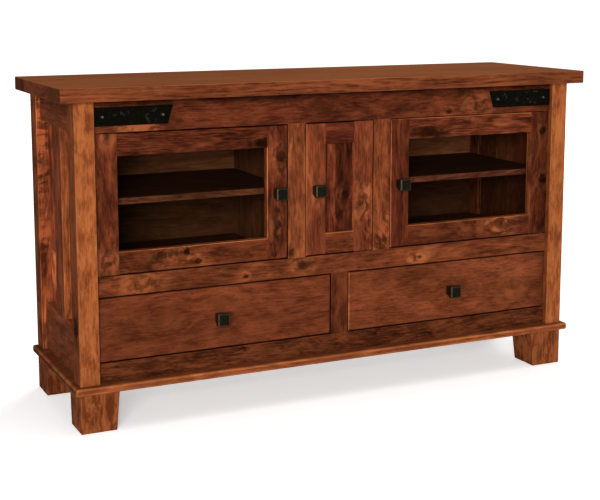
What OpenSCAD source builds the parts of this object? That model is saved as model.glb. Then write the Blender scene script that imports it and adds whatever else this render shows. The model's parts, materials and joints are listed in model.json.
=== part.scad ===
// Long low cabinet for a television: three doors over two drawers, on a base board with four block feet.
// Front faces -Y, +X to the right, +Z up, floor at Z = 0, origin under the middle of the top.

/* [Overall] */
// Width of the top
top_w = 1524; // [1400:1:1800]
// Depth of the top
top_d = 468; // [440:1:540]
// Height from floor to the top's surface
top_h = 864; // [810:1:930]
// Thickness of the top
top_t = 35; // [25:0.5:40]
// How far the top passes the posts at each side
side_overhang = 37.5; // [18:0.5:60]
// How far the top passes the front posts
front_overhang = 26.5; // [24:0.5:45]
// How far the top passes the back posts
back_overhang = 9.5; // [2:0.5:20]

/* [Base and feet] */
// Height of the feet
foot_h = 102.5; // [60:0.5:130]
// Width of a foot where it meets the base board
foot_top_w = 101.5; // [80:0.5:120]
// Width of a foot at the floor, the taper is on the inner sides only
foot_floor_w = 92.5; // [60:0.5:100]
// Thickness of the base board
base_t = 19.5; // [15:0.5:25]
// How far the base board passes the posts at the front and the sides
base_overhang = 15; // [0:0.5:20]

/* [Posts] */
// Width of a corner post
post_w = 51; // [44:0.5:60]
// Depth of a corner post
post_d = 57; // [50:0.5:64]

/* [Face frame] */
// Thickness of the face frame, the doors and the drawer fronts
frame_t = 22; // [20:0.5:25]
// How far the face frame sits behind the fronts of the posts
frame_recess = 14; // [8:0.5:18]
// Height of the rail over the doors
top_rail_h = 79; // [70:0.5:95]
// Height of the rail between the doors and the drawers
middle_rail_h = 51; // [40:0.5:60]
// Height of the rail under the drawers
bottom_rail_h = 50; // [35:0.5:60]
// Height of the drawer openings
drawer_open_h = 169; // [160:1:190]
// Width of the stiles
stile_w = 51; // [40:0.5:60]
// Width of the middle door's opening
center_open_w = 203; // [190:1:260]

/* [Sides and back] */
// How far the side rails sit behind the posts' outer faces
side_recess = 12.5; // [6:0.5:16]
// Thickness of the side rails and the mullions
side_t = 19; // [15:0.5:20]
// Height of the upper side rail
side_top_rail_h = 79; // [50:0.5:90]
// Height of the lower side rail
side_bottom_rail_h = 130; // [80:1:150]
// Width of the upright in the middle of a side
mullion_w = 76; // [50:1:90]
// Thickness of the side panels and the back panel
panel_t = 6; // [5:0.5:8]
// Radius of the cable holes in the back
cable_r = 30; // [20:0.5:35]
// Height of the cable holes over the cabinet floor
cable_up = 62; // [45:1:70]

/* [Inside] */
// Thickness of partitions and cabinet floor
board_t = 19; // [16:0.5:22]
// Thickness of the shelves
shelf_t = 16; // [14:0.5:20]
// Height of the shelves' top faces above the floor
shelf_z = 581; // [560:1:600]
// Radius of a shelf pin
pin_r = 3; // [2.5:0.1:3.5]
// Step between the shelf pin holes
pin_step = 50; // [40:1:60]

/* [Doors] */
// Gap around doors and drawer fronts
gap = 2.5; // [2.5:0.1:3.5]
// Width of the doors' stiles and rails
door_stile_w = 57; // [54:0.5:64]
// Depth of the lip in front of the glass
glass_lip = 13; // [10:0.5:13]
// Thickness of the glass
glass_t = 4; // [3:0.5:4]
// Width of the rebate that holds the glass
rebate_w = 8; // [7:0.5:10]
// Depth of the middle door's panel behind the frame's face
panel_set = 9; // [6:0.5:10]

/* [Hinges] */
// Pivot from the hinge edge of a door
pivot_in = 8; // [8:0.5:10]
// Pivot from the front face of a door
pivot_back = 5.5; // [5.5:0.5:6]
// Radius of the pivot pins
pivot_r = 2; // [1.5:0.1:2.2]
// Radial clearance of the pivot pins
pivot_fit = 0.05; // [0.03:0.01:0.1]
// Length of a hinge leaf from its pivot
leaf_l = 44; // [30:1:44]

/* [Drawers] */
// Length of the drawer slides
slide_l = 355; // [300:5:355]
// Thickness of a closed slide
slide_t = 12.7; // [12.7:0.1:13.5]
// Height of the drawer sides
drawer_side_h = 130; // [110:1:135]
// Thickness of the drawer sides
drawer_side_t = 12; // [10:0.5:15]

/* [Knobs and straps] */
// Side of a knob's square face
knob_w = 33; // [28:0.5:36]
// How far a knob stands out from the door
knob_out = 36; // [30:0.5:36]
// Length of a corner strap along its upper edge
strap_l = 206; // [150:1:220]
// Slant of a strap's free end
strap_slant = 14; // [5:1:20]
// Height of a corner strap
strap_h = 47; // [30:1:50]
// Thickness of a corner strap
strap_t = 3; // [2:0.5:4]

/* [Hidden] */
$fn = 48;

// Joint line left between glued pieces that share a node, so that each stays a solid of its own
line = 0.1;

// Depth positions
y_top0 = -top_d / 2;
y_top1 = top_d / 2;
y_post0 = y_top0 + front_overhang;
y_post1 = y_top1 - back_overhang;
y_face0 = y_post0 + frame_recess;
y_face1 = y_face0 + frame_t;
y_side0 = y_post0 + post_d;
y_side1 = y_post1 - post_d;
y_back0 = y_post1 - 10;

// Width positions, measured out from the middle
x_post1 = top_w / 2 - side_overhang;
x_post0 = x_post1 - post_w;
x_rail1 = x_post1 - side_recess;
x_rail0 = x_rail1 - side_t;
x_panel0 = x_rail0 - panel_t;
x_open0 = center_open_w / 2;
x_open1 = x_open0 + stile_w;
x_mid = x_open0 + stile_w / 2;
x_drawer0 = stile_w / 2;

// Height positions
z_base1 = foot_h + base_t;
z_draw0 = z_base1 + bottom_rail_h;
z_draw1 = z_draw0 + drawer_open_h;
z_door0 = z_draw1 + middle_rail_h;
z_top0 = top_h - top_t;
z_door1 = z_top0 - top_rail_h;
z_floor1 = z_door0 - 4;
z_floor0 = z_floor1 - board_t;
z_cable = z_floor1 + cable_up;

// Shelf pins
y_pin0 = y_side0 - 6.5;
y_pin1 = y_side1 + 17.5;
pin_in = 8;
z_pin = shelf_z - shelf_t - pin_r;
shelf_y0 = y_face1 + 8;
shelf_y1 = y_back0 - 1;

// Doors: left, right and middle, as the range of X that each closes
dz0 = z_door0 + gap;
dz1 = z_door1 - gap;
left_x = [-x_post0 + gap, -x_open1 - gap];
right_x = [x_open1 + gap, x_post0 - gap];
center_x = [-x_open0 + gap, x_open0 - gap];
y_pivot = y_face0 + pivot_back;
pivots = [[-x_post0 + gap + pivot_in, 1], [x_post0 - gap - pivot_in, -1], [x_open0 - gap - pivot_in, -1]];
leaf_t = 2;
leaf_r = 4.5;

// Drawers
z_slide = z_draw0 + 68;
z_box0 = z_draw0 + 12;
y_slide0 = y_face1 + 3;
y_box1 = y_face1 + slide_l + 5;

// Catches
catch_w = 46;
catch_z = z_door1 - 15;

module block(lo, hi) {
  translate(lo) cube([hi[0] - lo[0], hi[1] - lo[1], hi[2] - lo[2]]);
}

// A block given by its outer faces on the right-hand side, copied to the left when s is -1
module side_block(s, x0, x1, y0, y1, z0, z1) {
  block([s > 0 ? x0 : -x1, y0, z0], [s > 0 ? x1 : -x0, y1, z1]);
}

// A round bar along X
module bar_x(x0, x1, y, z, r) {
  translate([x0, y, z]) rotate([0, 90, 0]) cylinder(h = x1 - x0, r = r);
}

// A round bar along Y
module bar_y(x, y0, y1, z, r) {
  translate([x, y1, z]) rotate([90, 0, 0]) cylinder(h = y1 - y0, r = r);
}

// Carcass colours
module light_wood() { color([0.62, 0.35, 0.20]) children(); }
module wood() { color([0.50, 0.25, 0.15]) children(); }
module inner_wood() { color([0.46, 0.28, 0.17]) children(); }
module iron() { color([0.08, 0.08, 0.075]) children(); }
module bronze() { color([0.17, 0.16, 0.13]) children(); }
module brass() { color([0.72, 0.56, 0.30]) children(); }
module steel() { color([0.72, 0.73, 0.75]) children(); }

// Top, base board and feet

module top_slab() {
  wood() block([-top_w / 2, y_top0, z_top0], [top_w / 2, y_top1, top_h]);
}

module base_board() {
  wood() block([-x_post1 - base_overhang, y_post0 - base_overhang, foot_h], [x_post1 + base_overhang, y_post1, z_base1]);
}

// A block foot at a corner: its two outer faces are upright, its two inner faces taper
module foot(sx, sy) {
  side = [[0, 0], [foot_floor_w, 0], [foot_top_w, foot_h], [0, foot_h]];
  translate([sx * x_post1, sy > 0 ? y_post1 : y_post0, 0])
    mirror([sx > 0 ? 1 : 0, 0, 0]) mirror([0, sy > 0 ? 1 : 0, 0])
      intersection() {
        translate([0, foot_top_w, 0]) rotate([90, 0, 0]) linear_extrude(foot_top_w) polygon(side);
        rotate([90, 0, 90]) linear_extrude(foot_top_w) polygon(side);
      }
}

module feet_front() { light_wood() { foot(-1, -1); foot(1, -1); } }
module feet_back() { light_wood() { foot(-1, 1); foot(1, 1); } }

// Corner posts, with the holes for the shelf pins in their inner faces

module pin_holes(s, y) {
  for (k = [-1:1])
    bar_x(s > 0 ? x_post0 - 1 : -x_post0 - pin_in, s > 0 ? x_post0 + pin_in : -x_post0 + 1, y, z_pin + k * pin_step, pin_r);
}

module post_front(s) {
  light_wood() difference() {
    side_block(s, x_post0, x_post1, y_post0, y_side0, z_base1, z_top0);
    pin_holes(s, y_pin0);
  }
}

// The back posts are rebated for the back panel
module post_back(s) {
  wood() difference() {
    side_block(s, x_post0, x_post1, y_side1, y_post1, z_base1, z_top0);
    side_block(s, x_post0 - 1, x_post0 + 10, y_back0, y_post1 + 1, z_base1 - 1, z_top0 + 1);
    pin_holes(s, y_pin1);
  }
}

module post_front_left() { post_front(-1); }
module post_front_right() { post_front(1); }
module post_back_left() { post_back(-1); }
module post_back_right() { post_back(1); }

// Hinges: a leaf with a round end at its pivot. Leaves are let into the rails and into the doors' ends.

module leaf(p, z, t) {
  translate([p[0], y_pivot, z]) {
    cylinder(h = t, r = leaf_r);
    translate([p[1] > 0 ? 0 : -leaf_l, -leaf_r, 0]) cube([leaf_l, 2 * leaf_r, t]);
  }
}

// A rail's pocket under or over a door
module rail_pockets(z, t) {
  for (p = pivots) leaf(p, z, t);
}

module door_leaves(p) {
  brass() for (top = [0, 1])
    difference() {
      leaf(p, top > 0 ? dz1 - leaf_t : dz0, leaf_t);
      translate([p[0], y_pivot, dz0 - 1]) cylinder(h = dz1 - dz0 + 2, r = pivot_r + pivot_fit);
    }
}

// What a door's hinge stile loses to its leaves and pins
module door_leaf_cuts(p) {
  leaf(p, dz0 - 1, leaf_t + 1);
  leaf(p, dz1 - leaf_t, leaf_t + 1);
  translate([p[0], y_pivot, dz0 - 1]) cylinder(h = 11, r = pivot_r + 0.6);
  translate([p[0], y_pivot, dz1 - 10]) cylinder(h = 11, r = pivot_r + 0.6);
}

module hinge_pivots() {
  brass() for (p = pivots) {
    leaf(p, z_door0 - leaf_t, leaf_t);
    translate([p[0], y_pivot, z_door0 - leaf_t]) {
      cylinder(h = leaf_t + gap - 0.6, r = 3.6);
      cylinder(h = leaf_t + gap + 8, r = pivot_r);
    }
    leaf(p, z_door1, leaf_t);
    translate([p[0], y_pivot, z_door1 - gap + 0.6]) cylinder(h = leaf_t + gap - 0.6, r = 3.6);
    translate([p[0], y_pivot, z_door1 - gap - 8]) cylinder(h = leaf_t + gap + 8, r = pivot_r);
  }
}

// Face frame

function strap_screw_x(s) = [s * (x_post0 - 24), s * (x_post0 - 179)];
z_strap = z_door1 + top_rail_h / 2;

module face_top_rail() {
  wood() difference() {
    block([-x_post0, y_face0, z_door1], [x_post0, y_face1, z_top0]);
    translate([0, 0, -1]) rail_pockets(z_door1, leaf_t + 1);
    for (s = [-1, 1]) for (x = strap_screw_x(s)) bar_y(x, y_face0 - 1, y_face0 + 16, z_strap, 2.25);
  }
}

module face_middle_rail() {
  wood() difference() {
    block([-x_post0, y_face0, z_draw1], [x_post0, y_face1, z_door0]);
    rail_pockets(z_door0 - leaf_t, leaf_t + 1);
  }
}

module face_bottom_rail() {
  wood() block([-x_post0, y_face0, z_base1], [x_post0, y_face1, z_draw0]);
}

module door_stiles() {
  wood() for (s = [-1, 1]) side_block(s, x_open0, x_open1, y_face0, y_face1, z_door0, z_door1);
}

module drawer_stile() {
  wood() block([-x_drawer0, y_face0, z_draw0], [x_drawer0, y_face1, z_draw1]);
}

// Sides: rails and a mullion between the posts, with a thin panel behind them

module side_rails(s) {
  wood() {
    side_block(s, x_rail0, x_rail1, y_side0, y_side1, z_base1, z_base1 + side_bottom_rail_h);
    side_block(s, x_rail0, x_rail1, y_side0, y_side1, z_top0 - side_top_rail_h, z_top0);
  }
}

module side_rails_left() { side_rails(-1); }
module side_rails_right() { side_rails(1); }

module side_mullions() {
  y = (y_side0 + y_side1) / 2;
  wood() for (s = [-1, 1])
    side_block(s, x_rail0, x_rail1, y - mullion_w / 2, y + mullion_w / 2, z_base1 + side_bottom_rail_h, z_top0 - side_top_rail_h);
}

module side_panel(s) { wood() side_block(s, x_panel0, x_rail0, y_side0, y_side1, z_base1, z_top0); }
module side_panel_left() { side_panel(-1); }
module side_panel_right() { side_panel(1); }

// Inside

module cabinet_floor() {
  inner_wood() union() {
    block([-x_post0, y_face1, z_floor0], [x_post0, y_back0, z_floor1]);
    block([-x_panel0, y_side0, z_floor0], [x_panel0, y_side1, z_floor1]);
  }
}

// An upright between two compartments, drilled from both sides for shelf pins
module partition(s) {
  inner_wood() difference() {
    side_block(s, x_mid - board_t / 2, x_mid + board_t / 2, y_face1, y_back0, z_floor1, z_top0);
    for (y = [y_pin0, y_pin1]) for (k = [-1:1]) for (e = [-1, 1])
      translate([s * x_mid + e * (board_t / 2 - pin_in / 2 + 0.5), y, z_pin + k * pin_step])
        rotate([0, 90, 0]) cylinder(h = pin_in + 1, r = pin_r, center = true);
  }
}

module partition_left() { partition(-1); }
module partition_right() { partition(1); }

module drawer_partition() {
  inner_wood() block([-board_t / 2, y_face1, z_base1], [board_t / 2, y_back0, z_floor0]);
}

module slide_cleats() {
  inner_wood() for (s = [-1, 1]) {
    side_block(s, x_post0, x_panel0, y_side0, y_side1, z_slide - 35, z_slide + 35);
    side_block(s, board_t / 2, x_drawer0, y_face1, y_back0, z_slide - 35, z_slide + 35);
  }
}

cable_x = [-x_post0 + 76, -x_mid + board_t / 2 + 48, x_mid + board_t / 2 + 52];

module back_panel() {
  inner_wood() difference() {
    block([-x_post0 - 9.5, y_back0, z_base1], [x_post0 + 9.5, y_back0 + panel_t, z_top0]);
    for (x = cable_x) bar_y(x, y_back0 - 1, y_back0 + panel_t + 1, z_cable, cable_r);
  }
}

module shelf(x0, x1) {
  inner_wood() block([x0 + 1, shelf_y0, shelf_z - shelf_t], [x1 - 1, shelf_y1, shelf_z]);
}

module shelf_left() { shelf(-x_post0, -x_mid - board_t / 2); }
module shelf_center() { shelf(-x_mid + board_t / 2, x_mid - board_t / 2); }
module shelf_right() { shelf(x_mid + board_t / 2, x_post0); }

// Four pins under each shelf, half in the wood and half under the shelf
module shelf_pins() {
  walls = [-x_post0, -x_mid - board_t / 2, -x_mid + board_t / 2, x_mid - board_t / 2, x_mid + board_t / 2, x_post0];
  brass() for (i = [0:5]) for (y = [y_pin0, y_pin1]) {
    s = i % 2 == 0 ? 1 : -1;
    bar_x(min(walls[i] - s * pin_in, walls[i] + s * pin_in), max(walls[i] - s * pin_in, walls[i] + s * pin_in), y, z_pin, pin_r - 0.02);
  }
}

// Iron straps on the top rail at its two ends, with round-headed screws

module strap(s) {
  difference() {
    translate([0, y_face0, 0]) rotate([90, 0, 0]) linear_extrude(strap_t)
      polygon([[s * x_post0, z_strap - strap_h / 2], [s * (x_post0 - strap_l + strap_slant), z_strap - strap_h / 2],
        [s * (x_post0 - strap_l), z_strap + strap_h / 2], [s * x_post0, z_strap + strap_h / 2]]);
    for (x = strap_screw_x(s)) bar_y(x, y_face0 - strap_t - 1, y_face0 + 1, z_strap, 2.25);
  }
}

module corner_straps() { iron() { strap(-1); strap(1); } }

module strap_screws() {
  r = 7;
  h = 3.2;
  iron() for (s = [-1, 1]) for (x = strap_screw_x(s)) {
    translate([x, y_face0 - strap_t, z_strap]) intersection() {
      translate([0, r - h, 0]) sphere(r = r);
      rotate([90, 0, 0]) cylinder(h = 10, r = 5.5);
    }
    bar_y(x, y_face0 - strap_t - 0.5, y_face0 + 15, z_strap, 2.2);
  }
}

// Magnetic catches behind the top rail, and the plates on the doors that they hold

function catch_x(d) = d == 0 ? left_x[1] - 60 : d == 1 ? right_x[0] + 60 : center_x[0] + 60;

module door_catches() {
  color([0.25, 0.17, 0.12]) for (d = [0:2]) {
    x = catch_x(d);
    block([x - catch_w / 2, y_face1, z_door1], [x + catch_w / 2, y_face1 + 14, z_door1 + 14]);
    block([x - catch_w / 2, y_face1 + 1.7, catch_z - 4], [x + catch_w / 2, y_face1 + 14, z_door1]);
  }
}

module strike(d) {
  x = catch_x(d);
  steel() block([x - 18, y_face1, catch_z - 4], [x + 18, y_face1 + 1.2, catch_z + 9]);
}

// Square knob: a stem that widens to a flat plate with a bevelled rim, on the door's face
module knob(x, z) {
  w = knob_w / 2;
  o = knob_out;
  half = [[0, 0.68 * w], [2, 0.7 * w], [o * 0.64, 0.92 * w], [o * 0.66, w], [o - 3, w], [o, w - 3.4]];
  outline = concat(half, [for (i = [5:-1:0]) [half[i][0], -half[i][1]]]);
  bronze() translate([x, y_face0, z]) intersection() {
    translate([0, 0, -w]) linear_extrude(2 * w) polygon([for (p = outline) [p[1], -p[0]]]);
    translate([-w, 0, 0]) rotate([90, 0, 90]) linear_extrude(2 * w) polygon([for (p = outline) [-p[0], p[1]]]);
  }
}

// Framed door. The inner edges of its stiles and rails lose a slot from y0 to y1 and rebate_w wide.
module door_frame(x, p, y0, y1) {
  w = door_stile_w;
  wood() difference() {
    union() {
      block([x[0], y_face0, dz0], [x[0] + w, y_face1, dz1]);
      block([x[1] - w, y_face0, dz0], [x[1], y_face1, dz1]);
      block([x[0] + w + line, y_face0, dz0], [x[1] - w - line, y_face1, dz0 + w]);
      block([x[0] + w + line, y_face0, dz1 - w], [x[1] - w - line, y_face1, dz1]);
    }
    block([x[0] + w - rebate_w, y0, dz0 + w - rebate_w], [x[1] - w + rebate_w, y1, dz1 - w + rebate_w]);
    door_leaf_cuts(p);
  }
}

module glass(x) {
  g = door_stile_w - rebate_w + 1;
  y = y_face0 + glass_lip;
  color([0.80, 0.88, 0.86, 0.35]) block([x[0] + g, y, dz0 + g], [x[1] - g, y + glass_t, dz1 - g]);
}

// Four wooden beads that hold the glass from behind
module beads(x) {
  w = door_stile_w;
  g = w - rebate_w + line;
  y0 = y_face0 + glass_lip + glass_t;
  wood() {
    block([x[0] + g, y0, dz0 + g], [x[0] + w, y_face1, dz1 - g]);
    block([x[1] - w, y0, dz0 + g], [x[1] - g, y_face1, dz1 - g]);
    block([x[0] + w + line, y0, dz0 + g], [x[1] - w - line, y_face1, dz0 + w]);
    block([x[0] + w + line, y0, dz1 - w], [x[1] - w - line, y_face1, dz1 - g]);
  }
}

module left_door_frame() { door_frame(left_x, pivots[0], y_face0 + glass_lip, y_face1 + 1); }
module right_door_frame() { door_frame(right_x, pivots[1], y_face0 + glass_lip, y_face1 + 1); }
module center_door_frame() { door_frame(center_x, pivots[2], y_face0 + panel_set, y_face0 + panel_set + panel_t + 0.1); }
module left_door_glass() { glass(left_x); }
module right_door_glass() { glass(right_x); }
module left_door_beads() { beads(left_x); }
module right_door_beads() { beads(right_x); }

module center_door_panel() {
  g = door_stile_w - rebate_w + 1;
  y = y_face0 + panel_set + 0.05;
  wood() block([center_x[0] + g, y, dz0 + g], [center_x[1] - g, y + panel_t, dz1 - g]);
}

z_door_knob = (dz0 + dz1) / 2;
module left_door_knob() { knob(left_x[1] - door_stile_w / 2, z_door_knob); }
module right_door_knob() { knob(right_x[0] + door_stile_w / 2, z_door_knob); }
module center_door_knob() { knob(center_x[0] + door_stile_w / 2, z_door_knob); }
module left_door_hinge_leaves() { door_leaves(pivots[0]); }
module right_door_hinge_leaves() { door_leaves(pivots[1]); }
module center_door_hinge_leaves() { door_leaves(pivots[2]); }
module left_door_strike() { strike(0); }
module right_door_strike() { strike(1); }
module center_door_strike() { strike(2); }

// Drawers. The left one is drawn, and s = 1 gives the right one.

bottom_z = z_box0 + 10;
bx0 = x_drawer0 + slide_t;
bx1 = x_post0 - slide_t;
st = drawer_side_t;

module drawer_front(s) {
  wood() difference() {
    side_block(s, x_drawer0 + gap, x_post0 - gap, y_face0, y_face1, z_draw0 + gap, z_draw1 - gap);
    side_block(s, bx0 + st - 5, bx1 - st + 5, y_face1 - 6, y_face1 + 1, bottom_z, bottom_z + 6.2);
  }
}

// Two sides, a back and a bottom that slides in grooves
module drawer_box(s) {
  color([0.72, 0.58, 0.40]) {
    difference() {
      side_block(s, bx0, bx0 + st, y_face1, y_box1, z_box0, z_box0 + drawer_side_h);
      side_block(s, bx0 + st - 5, bx0 + st + 1, y_face1 - 1, y_box1 + 1, bottom_z, bottom_z + 6.2);
    }
    difference() {
      side_block(s, bx1 - st, bx1, y_face1, y_box1, z_box0, z_box0 + drawer_side_h);
      side_block(s, bx1 - st - 1, bx1 - st + 5, y_face1 - 1, y_box1 + 1, bottom_z, bottom_z + 6.2);
    }
    side_block(s, bx0 + st + line, bx1 - st - line, y_box1 - st, y_box1, bottom_z + 6.2, z_box0 + drawer_side_h);
    side_block(s, bx0 + st - 4.8, bx1 - st + 4.8, y_face1 - 5.8, y_box1 - 1, bottom_z + 0.1, bottom_z + 6.1);
  }
}

// A channel along Y: web at x0, flanges out to x1, outer half height h, metal t
module channel(x0, x1, h, t, y0, y1) {
  s = x1 > x0 ? 1 : -1;
  translate([0, y1, z_slide]) rotate([90, 0, 0]) linear_extrude(y1 - y0)
    polygon([[x0, -h], [x1, -h], [x1, -h + t], [x0 + s * t, -h + t], [x0 + s * t, h - t], [x1, h - t], [x1, h], [x0, h]]);
}

// One slide has its cabinet side at xm and runs towards direction e
module slide_cabinet(xm, e) { channel(xm, xm + e * 9.4, 23, 1.2, y_slide0, y_slide0 + slide_l); }
module slide_middle(xm, e) { channel(xm + e * 1.9, xm + e * (slide_t - 2), 19.5, 1.2, y_slide0, y_slide0 + slide_l); }
module slide_drawer(xm, e) { channel(xm + e * slide_t, xm + e * 4, 16, 1.2, y_slide0, y_slide0 + slide_l); }

module slide_cabinet_members() {
  steel() for (s = [-1, 1]) {
    slide_cabinet(s * x_post0, -s);
    slide_cabinet(s * x_drawer0, s);
  }
}

module slide_middle_members(s) { steel() { slide_middle(s * x_post0, -s); slide_middle(s * x_drawer0, s); } }
module slide_drawer_members(s) { steel() { slide_drawer(s * x_post0, -s); slide_drawer(s * x_drawer0, s); } }
module drawer_knob(s) { knob(s * (x_post0 + x_drawer0) / 2, (z_draw0 + z_draw1) / 2); }

module left_drawer_front() { drawer_front(-1); }
module left_drawer_box() { drawer_box(-1); }
module left_drawer_knob() { drawer_knob(-1); }
module left_slide_drawer_members() { slide_drawer_members(-1); }
module left_slide_middle_members() { slide_middle_members(-1); }
module right_drawer_front() { drawer_front(1); }
module right_drawer_box() { drawer_box(1); }
module right_drawer_knob() { drawer_knob(1); }
module right_slide_drawer_members() { slide_drawer_members(1); }
module right_slide_middle_members() { slide_middle_members(1); }

top_slab();
post_front_left();
post_front_right();
post_back_left();
post_back_right();
face_top_rail();
face_middle_rail();
face_bottom_rail();
door_stiles();
drawer_stile();
side_rails_left();
side_rails_right();
side_mullions();
side_panel_left();
side_panel_right();
base_board();
feet_front();
feet_back();
cabinet_floor();
partition_left();
partition_right();
drawer_partition();
slide_cleats();
back_panel();
shelf_left();
shelf_center();
shelf_right();
shelf_pins();
corner_straps();
strap_screws();
door_catches();
hinge_pivots();
slide_cabinet_members();
left_door_frame();
left_door_glass();
left_door_beads();
left_door_knob();
left_door_hinge_leaves();
left_door_strike();
right_door_frame();
right_door_glass();
right_door_beads();
right_door_knob();
right_door_hinge_leaves();
right_door_strike();
center_door_frame();
center_door_panel();
center_door_knob();
center_door_hinge_leaves();
center_door_strike();
left_drawer_front();
left_drawer_box();
left_drawer_knob();
left_slide_drawer_members();
left_slide_middle_members();
right_drawer_front();
right_drawer_box();
right_drawer_knob();
right_slide_drawer_members();
right_slide_middle_members();
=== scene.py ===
import json
import math
import random

import bmesh
import bpy
import numpy as np
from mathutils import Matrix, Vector


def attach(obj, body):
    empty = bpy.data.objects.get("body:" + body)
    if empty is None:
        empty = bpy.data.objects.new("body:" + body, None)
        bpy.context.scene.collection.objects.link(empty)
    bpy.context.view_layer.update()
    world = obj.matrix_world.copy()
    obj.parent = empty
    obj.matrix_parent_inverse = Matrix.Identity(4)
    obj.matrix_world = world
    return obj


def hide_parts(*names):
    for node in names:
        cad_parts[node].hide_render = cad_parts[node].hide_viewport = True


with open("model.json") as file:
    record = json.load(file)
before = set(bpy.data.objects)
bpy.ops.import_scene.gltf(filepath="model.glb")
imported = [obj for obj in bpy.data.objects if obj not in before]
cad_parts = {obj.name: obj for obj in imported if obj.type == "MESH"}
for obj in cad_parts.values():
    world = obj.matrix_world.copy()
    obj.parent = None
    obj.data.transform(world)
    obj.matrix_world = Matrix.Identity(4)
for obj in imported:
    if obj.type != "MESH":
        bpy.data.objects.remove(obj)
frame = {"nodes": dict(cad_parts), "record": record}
NODES = frame["nodes"]
BODY = {n: b for b, ns in frame["record"]["behaviour"]["bodies"].items() for n in ns}
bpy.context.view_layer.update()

MM = 0.001


def lin(r, g, b, k=1.0):
    """An sRGB colour, 0 to 255, as linear RGBA."""
    def f(c):
        c /= 255.0
        return c / 12.92 if c <= 0.04045 else ((c + 0.055) / 1.055) ** 2.4
    return (f(r) * k, f(g) * k, f(b) * k, 1.0)


# ---------------------------------------------------------------- camera, floor and lights

scene = bpy.context.scene
cam_data = bpy.data.cameras.new("camera")
cam = bpy.data.objects.new("camera", cam_data)
scene.collection.objects.link(cam)
cam.location = (-1.52205, -3.15544, 1.10267)
cam.rotation_euler = (math.pi / 2 - 0.1506, 0.0, -0.44269)
cam_data.lens = 75.79
cam_data.sensor_width = 36.0
cam_data.shift_y = -0.12
cam_data.clip_start = 0.05
cam_data.clip_end = 400.0
scene.camera = cam
scene.view_settings.view_transform = "Standard"
scene.view_settings.look = "None"


class Tree:
    """Short calls for building a node tree."""

    def __init__(self, tree):
        self.tree = tree

    def new(self, kind, **props):
        n = self.tree.nodes.new(kind)
        for k, v in props.items():
            setattr(n, k, v)
        return n

    def put(self, sock, x):
        if x is None:
            return
        if isinstance(x, bpy.types.NodeSocket):
            self.tree.links.new(x, sock)
        else:
            sock.default_value = x

    def math(self, op, a, b=None, c=None, clamp=False):
        n = self.new("ShaderNodeMath", operation=op, use_clamp=clamp)
        for s, x in zip(n.inputs, (a, b, c)):
            self.put(s, x)
        return n.outputs[0]

    def vec(self, op, a, b=None, scale=None):
        n = self.new("ShaderNodeVectorMath", operation=op)
        self.put(n.inputs[0], a)
        self.put(n.inputs[1], b)
        if scale is not None:
            self.put(n.inputs["Scale"], scale)
        return n.outputs["Value" if op in ("LENGTH", "DOT_PRODUCT", "DISTANCE") else "Vector"]

    def xyz(self, v):
        n = self.new("ShaderNodeSeparateXYZ")
        self.put(n.inputs[0], v)
        return n.outputs[0], n.outputs[1], n.outputs[2]

    def com(self, x=0.0, y=0.0, z=0.0):
        n = self.new("ShaderNodeCombineXYZ")
        for s, v in zip(n.inputs, (x, y, z)):
            self.put(s, v)
        return n.outputs[0]

    def attr(self, name):
        n = self.new("ShaderNodeAttribute", attribute_type="GEOMETRY")
        n.attribute_name = name
        return n.outputs["Vector"]

    def noise(self, v, scale=1.0, detail=2.0, rough=0.5, dist=0.0, color=False):
        n = self.new("ShaderNodeTexNoise", noise_dimensions="3D")
        self.put(n.inputs["Vector"], v)
        self.put(n.inputs["Scale"], scale)
        self.put(n.inputs["Detail"], detail)
        self.put(n.inputs["Roughness"], rough)
        self.put(n.inputs["Distortion"], dist)
        return n.outputs["Color" if color else "Fac"]

    def ramp(self, x, a, b, c=0.0, d=1.0, smooth=True):
        n = self.new("ShaderNodeMapRange", interpolation_type="SMOOTHSTEP" if smooth else "LINEAR", clamp=True)
        for s, v in zip(n.inputs, (x, a, b, c, d)):
            self.put(s, v)
        return n.outputs[0]

    def mixc(self, f, a, b, blend="MIX"):
        n = self.new("ShaderNodeMix", data_type="RGBA", blend_type=blend)
        n.clamp_factor = True
        self.put(n.inputs[0], f)
        self.put(n.inputs[6], a)
        self.put(n.inputs[7], b)
        return n.outputs[2]

    def principled(self, color, rough, **sockets):
        n = self.new("ShaderNodeBsdfPrincipled")
        self.put(n.inputs["Base Color"], color)
        self.put(n.inputs["Roughness"], rough)
        for k, v in sockets.items():
            self.put(n.inputs[k.replace("_", " ")], v)
        out = self.new("ShaderNodeOutputMaterial")
        self.tree.links.new(n.outputs[0], out.inputs[0])
        return n

    def bump(self, height, strength, distance):
        n = self.new("ShaderNodeBump")
        n.inputs["Strength"].default_value = strength
        n.inputs["Distance"].default_value = distance
        self.put(n.inputs["Height"], height)
        return n.outputs[0]


def material(name):
    m = bpy.data.materials.new(name)
    m.use_nodes = True
    m.node_tree.nodes.clear()
    return m, Tree(m.node_tree)


# A plain pale floor
floor_mesh = bpy.data.meshes.new("floor")
R_FLOOR = 300.0
fv = [(0.0, 0.0, 0.0)] + [(R_FLOOR * math.cos(k * math.tau / 96), R_FLOOR * math.sin(k * math.tau / 96), 0.0) for k in range(96)]
floor_mesh.from_pydata(fv, [], [(0, 1 + k, 1 + (k + 1) % 96) for k in range(96)])
floor = bpy.data.objects.new("floor", floor_mesh)
scene.collection.objects.link(floor)
fm, t = material("floor")
lp = t.new("ShaderNodeLightPath")
far = t.vec("LENGTH", t.new("ShaderNodeTexCoord").outputs["Object"])
lift = t.ramp(far, 0.8, 8.0, 0.46, 0.95)
t.principled(lin(238, 238, 237), 0.9, Specular_IOR_Level=0.0, Emission_Color=(1.0, 1.0, 1.0, 1.0), Emission_Strength=t.math("MULTIPLY", lp.outputs["Is Camera Ray"], lift))
floor_mesh.materials.append(fm)
floor.visible_glossy = False

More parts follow.
